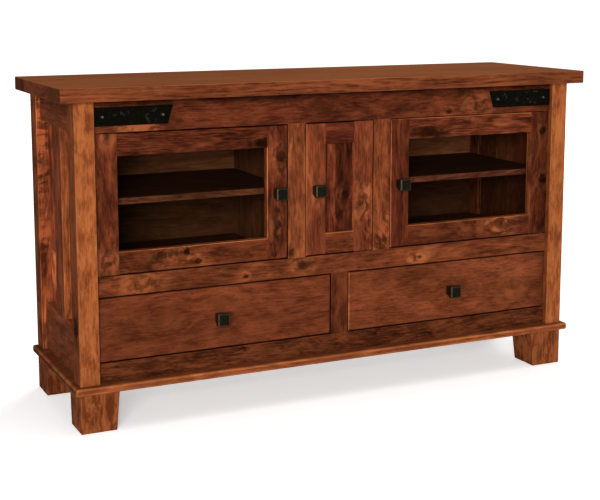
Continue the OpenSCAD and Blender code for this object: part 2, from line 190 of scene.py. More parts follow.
# The sky of the studio: bright at the horizon, dimmer overhead
world = bpy.data.worlds.new("studio")
scene.world = world
world.use_nodes = True
world.node_tree.nodes.clear()
t = Tree(world.node_tree)
tc = t.new("ShaderNodeTexCoord")
wz = t.xyz(tc.outputs["Generated"])[2]
wf = t.ramp(wz, 0.02, 0.65, 0.0, 1.0)
wc = t.mixc(wf, (0.35, 0.345, 0.335, 1.0), (0.25, 0.25, 0.255, 1.0))
lp = t.new("ShaderNodeLightPath")
wc = t.mixc(lp.outputs["Is Glossy Ray"], wc, (0.05, 0.05, 0.05, 1.0))
wc = t.mixc(lp.outputs["Is Camera Ray"], wc, (1.0, 1.0, 1.0, 1.0))
bg = t.new("ShaderNodeBackground")
t.put(bg.inputs[0], wc)
wo = t.new("ShaderNodeOutputWorld")
world.node_tree.links.new(bg.outputs[0], wo.inputs[0])


def area(name, at, target, size, power, color=(1.0, 1.0, 1.0), size_y=None, mirrored=True):
    d = bpy.data.lights.new(name, "AREA")
    d.energy = power
    d.color = color
    d.size = size
    if size_y:
        d.shape = "RECTANGLE"
        d.size_y = size_y
    o = bpy.data.objects.new(name, d)
    scene.collection.objects.link(o)
    o.location = at
    o.rotation_euler = (Vector(target) - Vector(at)).to_track_quat("-Z", "Y").to_euler()
    o.visible_glossy = mirrored
    return o


area("key", (-4.5, -7.8, 2.6), (0.0, -0.1, 0.45), 3.2, 690.0, (1.0, 0.985, 0.96), 2.4)
area("top", (0.3, -0.4, 4.2), (0.0, 0.0, 0.8), 4.0, 80.0, (1.0, 0.99, 0.97), 3.0, mirrored=False)
area("back", (5.2, 5.8, 4.6), (0.0, 0.1, 0.4), 4.0, 360.0, (1.0, 0.99, 0.97), 3.0, mirrored=False)
# Two small lights that only show as glints on metal and on lacquered edges
for name, at, size, power, size_y in (("strip", (-5.4, -2.6, 0.7), 0.8, 110.0, 2.2), ("glint", (3.5, -4.4, 1.3), 0.5, 5.0, 0.9)):
    o = area(name, at, (0.0, -0.1, 0.45), size, power, (1.0, 0.99, 0.97), size_y)
    o.visible_diffuse = False
    o.visible_transmission = False


# ---------------------------------------------------------------- wood

def wood_group():
    """Figure of a sawn board. Reads the attributes that Pile writes:
    bd, place in the board in metres: along the grain, and from the pith in the two other directions
    kn, place from the nearest knot in its radii, along and across, and painted shade towards an edge, lighter where
    negative; ks, its darkness, tail and light swirl ex, amount of curl, amount of mineral streak, distance from the
    sapwood in metres mx, strength of the year bands, of the mottling and of the fine streaks
    tn, brightness, warmth, seed; fc, 1 on an eased edge, 1 on end grain."""
    g = bpy.data.node_groups.new("WoodFigure", "ShaderNodeTree")
    for name, kind, default in (
        ("Light", "Color", (0.4, 0.13, 0.04, 1)), ("Mid", "Color", (0.25, 0.07, 0.025, 1)), ("Dark", "Color", (0.1, 0.025, 0.01, 1)),
        ("Knot", "Color", (0.02, 0.006, 0.003, 1)), ("Sap", "Color", (0.5, 0.2, 0.07, 1)),
        ("Bands", "Float", 0.5), ("Streaks", "Float", 0.3), ("Fine", "Float", 0.2), ("Blotch", "Float", 0.5), ("Mottle", "Float", 0.3), ("Flame", "Float", 0.3),
        ("Lines", "Float", 0.25), ("Flecks", "Float", 0.3), ("Edge", "Float", 0.4), ("Broad", "Float", 0.2), ("RingWidth", "Float", 0.010),
    ):
        s = g.interface.new_socket(name, in_out="INPUT", socket_type="NodeSocket" + kind)
        s.default_value = default
    for name, kind in (("Color", "Color"), ("Height", "Float"), ("Rough", "Float")):
        g.interface.new_socket(name, in_out="OUTPUT", socket_type="NodeSocket" + kind)
    t = Tree(g)
    i = t.new("NodeGroupInput").outputs
    bd, kn, ks, ex, mx, tn, fc = (t.attr(n) for n in ("bd", "kn", "ks", "ex", "mx", "tn", "fc"))
    a, b, c = t.xyz(bd)
    kx, ky, shadow = t.xyz(kn)
    kr, k_tail, k_swirl = t.xyz(ks)
    curl_amt, mineral_amt, sap_d = t.xyz(ex)
    m_band, m_mottle, m_streak = t.xyz(mx)
    tone, warm, seed = t.xyz(tn)
    edge, end, k_dark = t.xyz(fc)
    shift = t.vec("MULTIPLY", t.com(seed, seed, seed), (37.0, 91.0, 53.0))

    # The grain runs round the knots
    k2 = t.math("ADD", t.math("MULTIPLY", t.math("MULTIPLY", kx, kx), 0.10), t.math("MULTIPLY", t.math("MULTIPLY", ky, ky), 0.30))
    kg = t.math("MULTIPLY", t.math("EXPONENT", t.math("MULTIPLY", k2, -1.0)), 0.8)
    push = t.math("MULTIPLY", t.math("MULTIPLY", ky, kr), kg)
    b2 = t.math("SUBTRACT", b, push)
    p = t.vec("ADD", t.com(a, b2, c), shift)

    # Slow waves in the grain, and the pith wandering along the board with the year rings round it
    w1 = t.vec("SUBTRACT", t.noise(t.vec("MULTIPLY", p, (3.2, 10.0, 10.0)), 1.0, 1.0, 0.5, color=True), (0.5, 0.5, 0.5))
    w1 = t.vec("MULTIPLY", w1, (0.0, 0.024, 0.024))
    p1 = t.vec("ADD", p, w1)
    _, w1b, w1c = t.xyz(w1)
    w = t.vec("SUBTRACT", t.noise(t.vec("MULTIPLY", p, (1.7, 1.0, 1.0)), 1.0, 1.0, 0.5, color=True), (0.5, 0.5, 0.5))
    wb, wc_, wd = t.xyz(w)
    b3 = t.math("ADD", t.math("ADD", b2, w1b), t.math("MULTIPLY", wb, 0.08))
    c3 = t.math("ADD", t.math("ADD", c, w1c), t.math("MULTIPLY", wc_, 0.08))
    r = t.math("SQRT", t.math("ADD", t.math("MULTIPLY", b3, b3), t.math("MULTIPLY", c3, c3)))
    warp = t.noise(t.vec("MULTIPLY", p, (16.0, 34.0, 34.0)), 1.0, 1.0, 0.5)
    r = t.math("ADD", r, t.math("MULTIPLY", t.math("SUBTRACT", warp, 0.5), 0.008))
    band = t.noise(t.com(t.math("MULTIPLY", r, 150.0), t.math("MULTIPLY", t.math("ADD", a, seed), 2.2), t.math("MULTIPLY", seed, 17.0)), 1.0, 4.0, 0.62)
    band = t.ramp(band, 0.28, 0.72, -0.5, 0.5)
    ring = t.math("FRACT", t.math("DIVIDE", r, i["RingWidth"]))
    line = t.math("MULTIPLY", t.ramp(ring, 0.35, 0.9), t.ramp(ring, 1.0, 0.93))
    line = t.math("MULTIPLY", line, t.ramp(t.noise(t.vec("MULTIPLY", p, (5.0, 16.0, 16.0)), 1.0, 1.0, 0.5), 0.42, 0.66))

    streak = t.noise(t.vec("MULTIPLY", p1, (11.0, 150.0, 150.0)), 1.0, 4.0, 0.7)
    streak = t.ramp(streak, 0.28, 0.72, -0.5, 0.5)
    fine = t.noise(t.vec("MULTIPLY", p1, (22.0, 250.0, 250.0)), 1.0, 2.0, 0.7)
    fine = t.ramp(fine, 0.3, 0.7, -0.5, 0.5)
    pores = t.noise(t.vec("MULTIPLY", p1, (22.0, 520.0, 520.0)), 1.0, 1.0, 0.5)
    blotch = t.noise(t.vec("MULTIPLY", p1, (7.5, 19.0, 19.0)), 1.0, 3.0, 0.55, 1.2)
    blotch = t.ramp(blotch, 0.32, 0.68, -0.5, 0.5)
    mottle = t.noise(t.vec("MULTIPLY", p, (20.0, 54.0, 54.0)), 1.0, 4.0, 0.66, 0.4)
    mottle = t.ramp(mottle, 0.3, 0.7, -0.5, 0.5)
    patch = t.ramp(t.noise(t.vec("MULTIPLY", p, (3.6, 8.0, 8.0)), 1.0, 1.0, 0.5), 0.44, 0.62)
    slant = t.com(t.math("ADD", a, t.math("MULTIPLY", b2, 0.8)), b2, c)
    curl = t.noise(t.vec("MULTIPLY", t.vec("ADD", slant, shift), (58.0, 22.0, 22.0)), 1.0, 2.0, 0.55, 0.6)
    curl = t.math("MULTIPLY", t.math("MULTIPLY", t.ramp(curl, 0.34, 0.66, -0.5, 0.5), patch), curl_amt)

    v = t.math("MULTIPLY", t.math("MULTIPLY", band, i["Bands"]), m_band)
    v = t.math("ADD", v, t.math("MULTIPLY", t.math("MULTIPLY", streak, i["Streaks"]), m_streak))
    v = t.math("ADD", v, t.math("MULTIPLY", t.math("MULTIPLY", fine, i["Fine"]), m_streak))
    v = t.math("ADD", v, t.math("MULTIPLY", t.math("MULTIPLY", blotch, i["Blotch"]), t.math("MINIMUM", m_band, 1.2)))
    v = t.math("ADD", v, t.math("MULTIPLY", t.math("MULTIPLY", mottle, i["Mottle"]), m_mottle))
    v = t.math("ADD", t.math("ADD", v, curl), 0.5, clamp=True)
    col = t.mixc(t.ramp(v, 0.0, 0.5, 0.0, 1.0, False), i["Dark"], i["Mid"])
    col = t.mixc(t.ramp(v, 0.5, 1.0, 0.0, 1.0, False), col, i["Light"])

    # Year ring lines, lighter flames, mineral streaks and gum flecks
    col = t.mixc(t.math("MULTIPLY", line, t.math("MULTIPLY", i["Lines"], m_band)), col, i["Dark"])
    flame = t.noise(t.vec("ADD", t.vec("MULTIPLY", p1, (7.0, 24.0, 24.0)), (3.1, 7.7, 1.3)), 1.0, 2.0, 0.5, 0.8)
    flame = t.math("MULTIPLY", t.ramp(flame, 0.56, 0.74), i["Flame"])
    col = t.mixc(flame, col, i["Sap"])
    mineral = t.noise(t.vec("MULTIPLY", p1, (6.5, 52.0, 52.0)), 1.0, 3.0, 0.62, 0.6)
    mineral = t.math("MULTIPLY", t.ramp(mineral, 0.55, 0.72), mineral_amt)
    smudge = t.noise(t.vec("ADD", t.vec("MULTIPLY", p1, (12.0, 27.0, 27.0)), (2.0, 5.0, 8.0)), 1.0, 3.0, 0.55, 0.9)
    smudge = t.math("MULTIPLY", t.ramp(smudge, 0.57, 0.72), t.math("MULTIPLY", mineral_amt, 1.8))
    mineral = t.math("MAXIMUM", mineral, smudge)
    smoky = t.mixc(0.45, i["Dark"], i["Knot"])
    col = t.mixc(mineral, col, smoky)
    fleck = t.ramp(t.noise(t.vec("MULTIPLY", p1, (55.0, 260.0, 260.0)), 1.0, 1.0, 0.5), 0.66, 0.76)
    col = t.mixc(t.math("MULTIPLY", fleck, i["Flecks"]), col, smoky)

    # Sapwood at one side of a board
    sap = t.math("ADD", sap_d, t.math("MULTIPLY", wd, 0.02))
    sap = t.math("ADD", sap, t.math("MULTIPLY", mottle, 0.004))
    sap = t.ramp(sap, 0.0025, -0.0025)
    sapc = t.mixc(t.math("ADD", t.math("MULTIPLY", mottle, 0.7), 0.5, clamp=True), i["Mid"], i["Sap"])
    col = t.mixc(t.math("MULTIPLY", sap, 0.85), col, sapc)

    # Knots: light swirls round them, a dark tail along the grain, and a ragged dark heart
    kn1 = t.math("SUBTRACT", t.noise(t.vec("MULTIPLY", p, (75.0, 105.0, 105.0)), 1.0, 2.0, 0.6), 0.5)
    kn2 = t.math("SUBTRACT", t.noise(t.vec("MULTIPLY", p, (26.0, 42.0, 42.0)), 1.0, 1.0, 0.5), 0.5)
    kl = t.math("MULTIPLY", kx, 0.75)
    q = t.math("SQRT", t.math("ADD", t.math("MULTIPLY", kl, kl), t.math("MULTIPLY", ky, ky)))
    ragged = t.math("MULTIPLY", t.math("SUBTRACT", 0.026, kr), 280.0)
    ragged = t.math("MINIMUM", t.math("MAXIMUM", ragged, 0.9), 2.8)
    q = t.math("ADD", q, t.math("MULTIPLY", t.math("ADD", kn1, kn2), ragged))
    swirl = t.ramp(q, t.math("MULTIPLY", k_dark, 1.1), t.math("ADD", t.math("MULTIPLY", k_dark, 1.6), 0.2))
    swirl = t.math("MULTIPLY", swirl, t.ramp(q, 4.4, 1.4))
    kn3 = t.noise(t.vec("ADD", t.vec("MULTIPLY", p, (34.0, 80.0, 80.0)), (9.0, 2.0, 4.0)), 1.0, 2.0, 0.55)
    swirl = t.math("MULTIPLY", swirl, t.math("MULTIPLY", t.ramp(kn3, 0.4, 0.6, 0.08, 1.0), k_swirl))
    col = t.mixc(swirl, col, i["Sap"])
    tx, ty = t.math("MULTIPLY", kx, 0.2), t.math("MULTIPLY", ky, 0.62)
    tail = t.math("SQRT", t.math("ADD", t.math("MULTIPLY", tx, tx), t.math("MULTIPLY", ty, ty)))
    tail = t.math("ADD", tail, t.math("ADD", t.math("MULTIPLY", kn1, 1.2), t.math("MULTIPLY", kn2, 2.0)))
    tail = t.math("MULTIPLY", t.ramp(tail, 1.25, 0.25), k_tail)
    col = t.mixc(tail, col, smoky)
    heart = t.mixc(t.ramp(kn1, -0.12, 0.1, 0.0, 0.6), i["Knot"], i["Dark"])
    col = t.mixc(t.math("MULTIPLY", t.ramp(q, 1.2, 0.45), k_dark), col, heart)

    # End grain takes more stain, and eased edges are painted lighter: partly rubbed wear, partly a painted highlight
    # where the arris catches the light
    endc = t.mixc(t.ramp(band, -0.5, 0.5, 0.35, 0.8), i["Knot"], i["Mid"])
    col = t.mixc(t.math("MULTIPLY", end, 0.78), col, endc)
    wear_and_highlight = t.math("MULTIPLY", t.math("MULTIPLY", edge, i["Edge"]), t.ramp(blotch, -0.5, 0.3, 0.35, 1.0))
    col = t.mixc(wear_and_highlight, col, i["Sap"])

    # Board tone and warmth, and the painted shade towards an edge
    hs = t.new("ShaderNodeHueSaturation")
    t.put(hs.inputs["Hue"], t.math("ADD", t.math("MULTIPLY", warm, 0.02), 0.5))
    t.put(hs.inputs["Saturation"], 1.0)
    broad = t.math("SUBTRACT", t.noise(t.vec("MULTIPLY", p, (2.6, 9.0, 9.0)), 1.0, 1.0, 0.5), 0.5)
    broad = t.math("ADD", t.math("MULTIPLY", broad, i["Broad"]), 1.0)
    t.put(hs.inputs["Value"], t.math("MULTIPLY", t.math("MULTIPLY", tone, broad), t.math("SUBTRACT", 1.0, shadow)))
    t.put(hs.inputs["Color"], col)
    col = hs.outputs[0]

    height = t.math("ADD", t.math("MULTIPLY", streak, 0.35), t.math("MULTIPLY", pores, 0.7))
    height = t.math("SUBTRACT", height, t.math("MULTIPLY", line, 0.3))
    height = t.math("SUBTRACT", height, t.math("MULTIPLY", t.math("MULTIPLY", t.ramp(q, 1.2, 0.45), k_dark), 0.8))
    rough = t.math("ADD", t.math("MULTIPLY", v, -0.08), t.math("MULTIPLY", mineral, 0.12))
    rough = t.math("ADD", rough, t.math("MULTIPLY", end, 0.12))
    o = t.new("NodeGroupOutput")
    t.put(o.inputs["Color"], col)
    t.put(o.inputs["Height"], height)
    t.put(o.inputs["Rough"], rough)
    return g


WOOD = wood_group()

LOOKS = {
    # name: light, mid, dark, knot, sapwood, then the amounts, roughness, specular level
    "top_wood": dict(c=((150, 84, 46), (126, 69, 38), (84, 40, 20), (44, 20, 11), (156, 90, 50)), Bands=0.4, Streaks=0.3, Fine=0.2, Blotch=0.15, Mottle=0.15, Flame=0.1, Lines=0.06, Flecks=0.08, Edge=0.35, Broad=0.6, rough=0.5, spec=0.06, bump=0.06),
    "post_wood": dict(c=((182, 104, 57), (160, 85, 46), (124, 60, 30), (24, 11, 6), (200, 124, 72)), Bands=0.3, Streaks=0.26, Fine=0.5, Blotch=0.4, Mottle=0.78, Flame=0.12, Lines=0.06, Flecks=0.05, Edge=0.3, Broad=0.4, rough=0.48, spec=0.06),
    "case_wood": dict(c=((148, 76, 43), (108, 53, 30), (66, 29, 15), (26, 11, 7), (184, 104, 60)), Bands=0.48, Streaks=0.4, Fine=0.5, Blotch=0.55, Mottle=0.45, Flame=0.25, Lines=0.2, Flecks=0.3, Edge=0.4, Broad=0.4, rough=0.48, spec=0.06),
    "face_wood": dict(c=((146, 75, 42), (110, 54, 31), (66, 29, 15), (26, 11, 7), (184, 104, 60)), Bands=0.32, Streaks=0.25, Fine=0.45, Blotch=0.42, Mottle=0.28, Flame=0.3, Lines=0.2, Flecks=0.3, Edge=0.4, Broad=0.25, rough=0.46, spec=0.06),
    "door_wood": dict(c=((142, 71, 41), (104, 49, 28), (58, 24, 12), (22, 9, 5), (186, 106, 62)), Bands=0.24, Streaks=0.2, Fine=0.42, Blotch=0.36, Mottle=0.24, Flame=0.35, Lines=0.25, Flecks=0.35, Edge=0.7, Broad=0.25, rough=0.46, spec=0.06),
    "drawer_wood": dict(c=((132, 67, 39), (112, 55, 32), (86, 38, 20), (40, 17, 9), (180, 102, 60)), Bands=0.22, Streaks=0.36, Fine=0.55, Blotch=0.56, Mottle=0.34, Flame=0.1, Lines=0.2, Flecks=0.8, Edge=0.75, Broad=0.9, rough=0.46, spec=0.06),
    "inner_wood": dict(c=((104, 60, 37), (82, 45, 27), (56, 29, 17), (28, 14, 9), (130, 78, 48)), Bands=0.4, Streaks=0.2, Fine=0.15, Blotch=0.35, Mottle=0.15, Flame=0.1, Lines=0.15, Flecks=0.2, Edge=0.35, Broad=0.3, rough=0.55, spec=0.05),
    "drawer_box_wood": dict(c=((210, 172, 124), (190, 148, 100), (158, 116, 74), (96, 60, 36), (218, 186, 142)), Bands=0.5, Streaks=0.3, Fine=0.25, Blotch=0.3, Mottle=0.2, Flame=0.1, Lines=0.3, Flecks=0.2, Edge=0.2, Broad=0.2, rough=0.52, spec=0.1),
}
MATS = {}
for name, k in LOOKS.items():
    m, t = material(name)
    g = t.new("ShaderNodeGroup")
    g.node_tree = WOOD
    for s, col in zip(("Light", "Mid", "Dark", "Knot", "Sap"), k["c"]):
        g.inputs[s].default_value = lin(*col)
    for s in ("Bands", "Streaks", "Fine", "Blotch", "Mottle", "Flame", "Lines", "Flecks", "Edge", "Broad"):
        g.inputs[s].default_value = k[s]
    rough = t.math("ADD", g.outputs["Rough"], k["rough"] + 0.04)
    n = t.principled(g.outputs["Color"], rough, Specular_IOR_Level=k["spec"], Specular_Tint=(1.0, 0.62, 0.38, 1.0))
    t.put(n.inputs["Normal"], t.bump(g.outputs["Height"], k.get("bump", 0.35), 0.00035))
    MATS[name] = m


def islands(bm):
    seen, out = set(), []
    for f in bm.faces:
        if f in seen:
            continue
        stack, part = [f], []
        seen.add(f)
        while stack:
            g = stack.pop()
            part.append(g)
            for e in g.edges:
                for h in e.link_faces:
                    if h not in seen:
                        seen.add(h)
                        stack.append(h)
        nb, at = bmesh.new(), {}
        for g in part:
            vs = []
            for v in g.verts:
                if v not in at:
                    at[v] = nb.verts.new(v.co)
                vs.append(at[v])
            nb.faces.new(vs)
        nb.normal_update()
        out.append(nb)
    return out


def solids_of(node):
    """The solids of a CAD node as clean meshes of flat faces."""
    bm = bmesh.new()
    bm.from_mesh(NODES[node].data)
    bmesh.ops.remove_doubles(bm, verts=bm.verts, dist=2e-6)
    bmesh.ops.dissolve_limit(bm, angle_limit=math.radians(0.6), verts=bm.verts, edges=bm.edges)
    out = islands(bm)
    bm.free()
    return out


def box_of(bm):
    co = np.array([v.co for v in bm.verts])
    return co.min(0), co.max(0)


def away_from(bm, boxes):
    """Cuts a board where its neighbours begin and end, and gives a test for the edges that aren't in a joint."""
    lo, hi = box_of(bm)
    near = []
    for a, b in boxes:
        if np.all(b > lo - 0.4 * MM) and np.all(a < hi + 0.4 * MM) and not (np.allclose(a, lo) and np.allclose(b, hi)):
            near.append((a, b))
    for a, b in near:
        # Along the axis where the two touch, nothing is cut
        gap = np.maximum(a - hi, lo - b)
        touch = int(np.argmax(gap))
        for k in range(3):
            if k == touch:
                continue
            for place in (a[k], b[k]):
                if lo[k] + 2 * MM < place < hi[k] - 2 * MM:
                    no = [0.0, 0.0, 0.0]
                    no[k] = 1.0
                    at = [0.0, 0.0, 0.0]
                    at[k] = place
                    bmesh.ops.bisect_plane(bm, geom=bm.verts[:] + bm.edges[:] + bm.faces[:], dist=1e-6, plane_co=at, plane_no=no)
    bm.normal_update()

    def pick(e):
        m = (e.verts[0].co + e.verts[1].co) / 2
        f, g = (q.normal for q in e.link_faces)
        for out, back in ((f, g), (g, f)):
            p = np.array(m + out * 0.6 * MM - back * 0.6 * MM)
            if any(np.all(p > a) and np.all(p < b) for a, b in near):
                return False
        return True
    return pick


def ease_edges(bm, radius, segments=2, pick=None):
    """Rounds the long outer edges of a solid. The new faces are marked in the layer eased."""
    eased = bm.faces.layers.int.get("eased") or bm.faces.layers.int.new("eased")
    bm.normal_update()
    edges = []
    for e in bm.edges:
        if len(e.link_faces) != 2 or not e.is_convex or e.calc_length() < 6.5 * MM:
            continue
        f, g = e.link_faces
        if e.calc_face_angle(0.0) < 0.7 or min(f.calc_area(), g.calc_area()) < 4e-5:
            continue
        if f[eased] or g[eased]:
            continue
        if pick is None or pick(e):
            edges.append(e)
    if edges:
        got = bmesh.ops.bevel(bm, geom=edges, offset=radius, offset_type="OFFSET", segments=segments, profile=0.5, affect="EDGES", clamp_overlap=True, loop_slide=True)
        for f in got["faces"]:
            f[eased] = 1


class Pile:
    """Meshes and board attributes gathered into one piece."""

    def __init__(self):
        self.v, self.f = [], []
        self.corner = {"bd": [], "kn": [], "ex": []}
        self.face = {"tn": [], "fc": [], "ks": [], "mx": []}

    def board(self, bm, grain=None, wide=None, seed=0.0, tone=1.0, warm=0.0, curl=0.0, mineral=0.0, band=1.0, mottle=1.0, streak=1.0, knots=(), pith=None, slope=None, strips=(), strip_tones=None, vary=1.0, sap=None, step=30.0, cuts=(), shade=None, shadow=None):
        """Adds one board. Distances in mm in the part's own frame.
        knots: (x, y, z, radius, darkness, tail, swirl) on a face; strips: borders across the width where one glued
        board ends and the next begins;
        sap: (place, +1 or -1), sapwood beyond that place across the width; vary: how much the glued boards differ;
        cuts: (axis, place), where the shade changes; shade: factors for a face, from its direction and its middle;
        shadow: (axis, ((place, amount), ...)), painted shade towards an edge, painted lighter where the amount is
        negative."""
        co = np.array([v.co for v in bm.verts])
        lo, hi = co.min(0), co.max(0)
        size = hi - lo
        order = list(np.argsort(size))
        ga = "xyz".index(grain) if grain else int(order[2])
        gb = "xyz".index(wide) if wide else int([q for q in order[::-1] if q != ga][0])
        gc = 3 - ga - gb
        rnd = random.Random(int(seed * 1000) + 11)
        mid = (lo + hi) / 2

        def cut(axis, place):
            no = [0.0, 0.0, 0.0]
            no[axis] = 1.0
            at = [0.0, 0.0, 0.0]
            at[axis] = place
            bmesh.ops.bisect_plane(bm, geom=bm.verts[:] + bm.edges[:] + bm.faces[:], dist=1e-6, plane_co=at, plane_no=no)

        if knots:
            n = int(size[ga] / (step * MM))
            for q in range(1, n):
                cut(ga, lo[ga] + size[ga] * q / n)
        borders = sorted(s * MM for s in strips)
        for s in borders:
            cut(gb, s)
        for axis, place in cuts:
            cut("xyz".index(axis), place * MM)
        if shadow:
            ax = "xyz".index(shadow[0])
            for place, _ in shadow[1]:
                if lo[ax] + 1e-4 < place * MM < hi[ax] - 1e-4:
                    cut(ax, place * MM)
            places = [q[0] * MM for q in shadow[1]]
            amounts = [q[1] for q in shadow[1]]
        bm.normal_update()
        eased = bm.faces.layers.int.get("eased")
        # Each glued strip has a log of its own
        logs = []
        for q in range(len(borders) + 1):
            pb = rnd.uniform(-0.5, 0.5) * max(size[gb] / (len(borders) + 1), 0.05)
            pc = rnd.choice((-1, 1)) * rnd.uniform(0.035, 0.085)
            sl = rnd.uniform(-0.1, 0.1)
            if pith and q == 0:
                pb, pc = pith[0] * MM, pith[1] * MM
            if slope is not None and q == 0:
                sl = slope
            lo_b = borders[q - 1] if q else lo[gb]
            hi_b = borders[q] if q < len(borders) else hi[gb]
            logs.append((pb + (lo_b + hi_b) / 2, pc + mid[gc], rnd.random(), 1.0 if not borders else 1.0 + rnd.uniform(-0.1, 0.1) * vary, rnd.uniform(-0.5, 0.5) * vary if borders else 0.0, rnd.uniform(-5, 5), sl))
            if strip_tones:
                logs[-1] = logs[-1][:3] + (strip_tones[q], 0.0) + logs[-1][5:]
        base = len(self.v)
        index = {}
        for k, v in enumerate(bm.verts):
            index[v] = base + k
            self.v.append(tuple(v.co))
        for f in bm.faces:
            m = f.calc_center_median()
            q = sum(m[gb] > s for s in borders)
            pb, pc, sd, tk, wk, ao, sl = logs[q]
            best = None
            ac = gc if abs(f.normal[gb]) > 0.7 else gb
            for x, y, z, rad, dark, tail, swirl in knots:
                k = (x * MM, y * MM, z * MM)
                if abs(m[3 - ga - ac] - k[3 - ga - ac]) > 12 * MM:
                    continue
                d = math.hypot((m[ga] - k[ga]) / 2.0, m[ac] - k[ac])
                if best is None or d < best[0]:
                    best = (d, k, rad * MM, dark, tail, swirl)
            is_eased = bool(eased and f[eased])
            sh = shade(f.normal, m / MM) if shade else {}
            self.f.append([index[v] for v in f.verts])
            self.face["tn"].append((tone * tk * sh.get("tone", 1.0), warm + wk + sh.get("warm", 0.0), (seed * 0.618 + sd) % 1.0))
            self.face["fc"].append((sh.get("wear_and_highlight", 1.0) if is_eased else 0.0, 1.0 if (abs(f.normal[ga]) > 0.8 and not is_eased) else 0.0, best[3] if best else 0.0))
            self.face["ks"].append((best[2], best[4], best[5]) if best else (0.001, 0.0, 0.0))
            self.face["mx"].append((band * sh.get("band", 1.0), mottle * sh.get("mottle", 1.0), streak * sh.get("streak", 1.0)))
            for v in f.verts:
                p = v.co
                self.corner["bd"].append((p[ga] + ao, p[gb] - pb, p[gc] - pc - sl * (p[ga] - mid[ga])))
                dk = float(np.interp(p[ax], places, amounts)) * sh.get("shadow", 1.0) if shadow else 0.0
                if best:
                    self.corner["kn"].append(((p[ga] - best[1][ga]) / best[2], (p[ac] - best[1][ac]) / best[2], dk))
                else:
                    self.corner["kn"].append((30.0, 30.0, dk))
                self.corner["ex"].append((curl * sh.get("curl", 1.0), mineral, (sap[0] * MM - p[gb]) * sap[1] if sap else 1.0))
        bm.free()

    def finish(self, name, mat, body, *replaced, look=None, angle=50.0):
        me = bpy.data.meshes.new(name)
        me.from_pydata(self.v, [], self.f)
        for k, rows in self.corner.items():
            at = me.attributes.new(k, "FLOAT_VECTOR", "CORNER")
            at.data.foreach_set("vector", np.array(rows, np.float32).ravel())
        for k, rows in self.face.items():
            at = me.attributes.new(k, "FLOAT_VECTOR", "FACE")
            at.data.foreach_set("vector", np.array(rows, np.float32).ravel())
        me.polygons.foreach_set("use_smooth", [True] * len(me.polygons))
        me.set_sharp_from_angle(angle=math.radians(angle))
        me.materials.append(MATS[look or mat])
        me.update()
        o = bpy.data.objects.new(name, me)
        scene.collection.objects.link(o)
        w = o.modifiers.new("normals", "WEIGHTED_NORMAL")
        w.keep_sharp = True
        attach(o, body)
        if replaced:
            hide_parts(*replaced)
        return o


# How each board looks. The key is a node, and a point inside the board where the node has several.
# Boards not listed take a seed from their place.
# The top face is painted warmer and calmer than the front edge: a painted sheen. The ends differ from board to board.
def top_sheen_shade(n, m):
    if n[2] > 0.5:
        return dict(warm=0.35, band=0.16, mottle=0.16, streak=0.1)
    if abs(n[0]) > 0.7:
        return dict(tone=0.55, warm=0.1) if not -118 < m[1] < 122 else dict(tone=0.9, warm=-0.2)
    return dict(tone=0.73, warm=-0.05, band=2.4, mottle=2.6, streak=1.8)


def base_shade(n, m):
    if n[2] > 0.7 or abs(n[0]) > 0.7:
        return dict(tone=0.74, band=0.5, mottle=0.5, streak=0.5)
    return dict(band=0.42, mottle=0.36, streak=0.3)


# Side faces are painted darker than the fronts: painted shade.
def side_painted_shade(n, m):
    return dict(tone=0.68, warm=-0.2, band=0.6, mottle=0.6) if abs(n[0]) > 0.7 else {}


def back_post_painted_shade(n, m):
    """The back posts are curly; their outer faces are calm and painted darker, a painted shade, and their other faces
    lighter.
    """
    if abs(n[0]) > 0.7:
        return dict(tone=0.75, warm=0.1, curl=0.1, mottle=0.4, shadow=0.0)
    return dict(tone=1.08, warm=-0.1, mottle=1.3)


# The mullions' side faces are painted darker and their front faces lighter: painted shade and painted light.
def mullion_painted_light(n, m):
    if abs(n[0]) > 0.7:
        return dict(tone=0.95, warm=-0.25, band=0.6, mottle=0.6)
    return dict(tone=1.5, warm=0.1, band=0.4, mottle=0.5) if n[1] < -0.7 else {}


def rail_painted_light(n, m):
    """The ledges under the side panels sit in shade and are painted lighter: painted light."""
    return dict(tone=1.9) if n[2] > 0.7 else {}


def gap_painted_shade(n, m):
    """The edges of the face frame are painted dark: painted shade in the gaps round the doors and drawers."""
    return dict(tone=0.27, warm=-0.2, wear_and_highlight=0.0) if abs(n[1]) < 0.9 else {}


def shelf_shade(n, m):
    return dict(tone=2.3 if m[0] > 130 else 1.75, warm=-0.7 if m[0] > 130 else -0.3, mottle=5.0, streak=2.5, band=2.0) if n[1] < -0.5 else dict(tone=0.85)


def back_painted_light(n, m):
    """Inside, the back is painted much lighter in the upper compartments than under the shelves, and more so on the
    right: painted light and painted shade.
    """
    if n[1] > -0.5:
        return dict(tone=0.85)
    if m[0] > 127:
        return dict(tone=3.1 if m[2] > 573 else 0.68, warm=-0.1)
    return dict(tone=2.2 if m[2] > 573 else 0.88)


def inner_side_painted_shade(n, m):
    """The side panels are browner inside, and their inner faces are painted lighter above the shelves than below:
    painted light and painted shade.
    """
    return dict(tone=0.95 if m[2] > 573 else 0.55, warm=0.3, band=0.25, mottle=0.25, streak=0.5) if n[0] * m[0] < 0 else {}


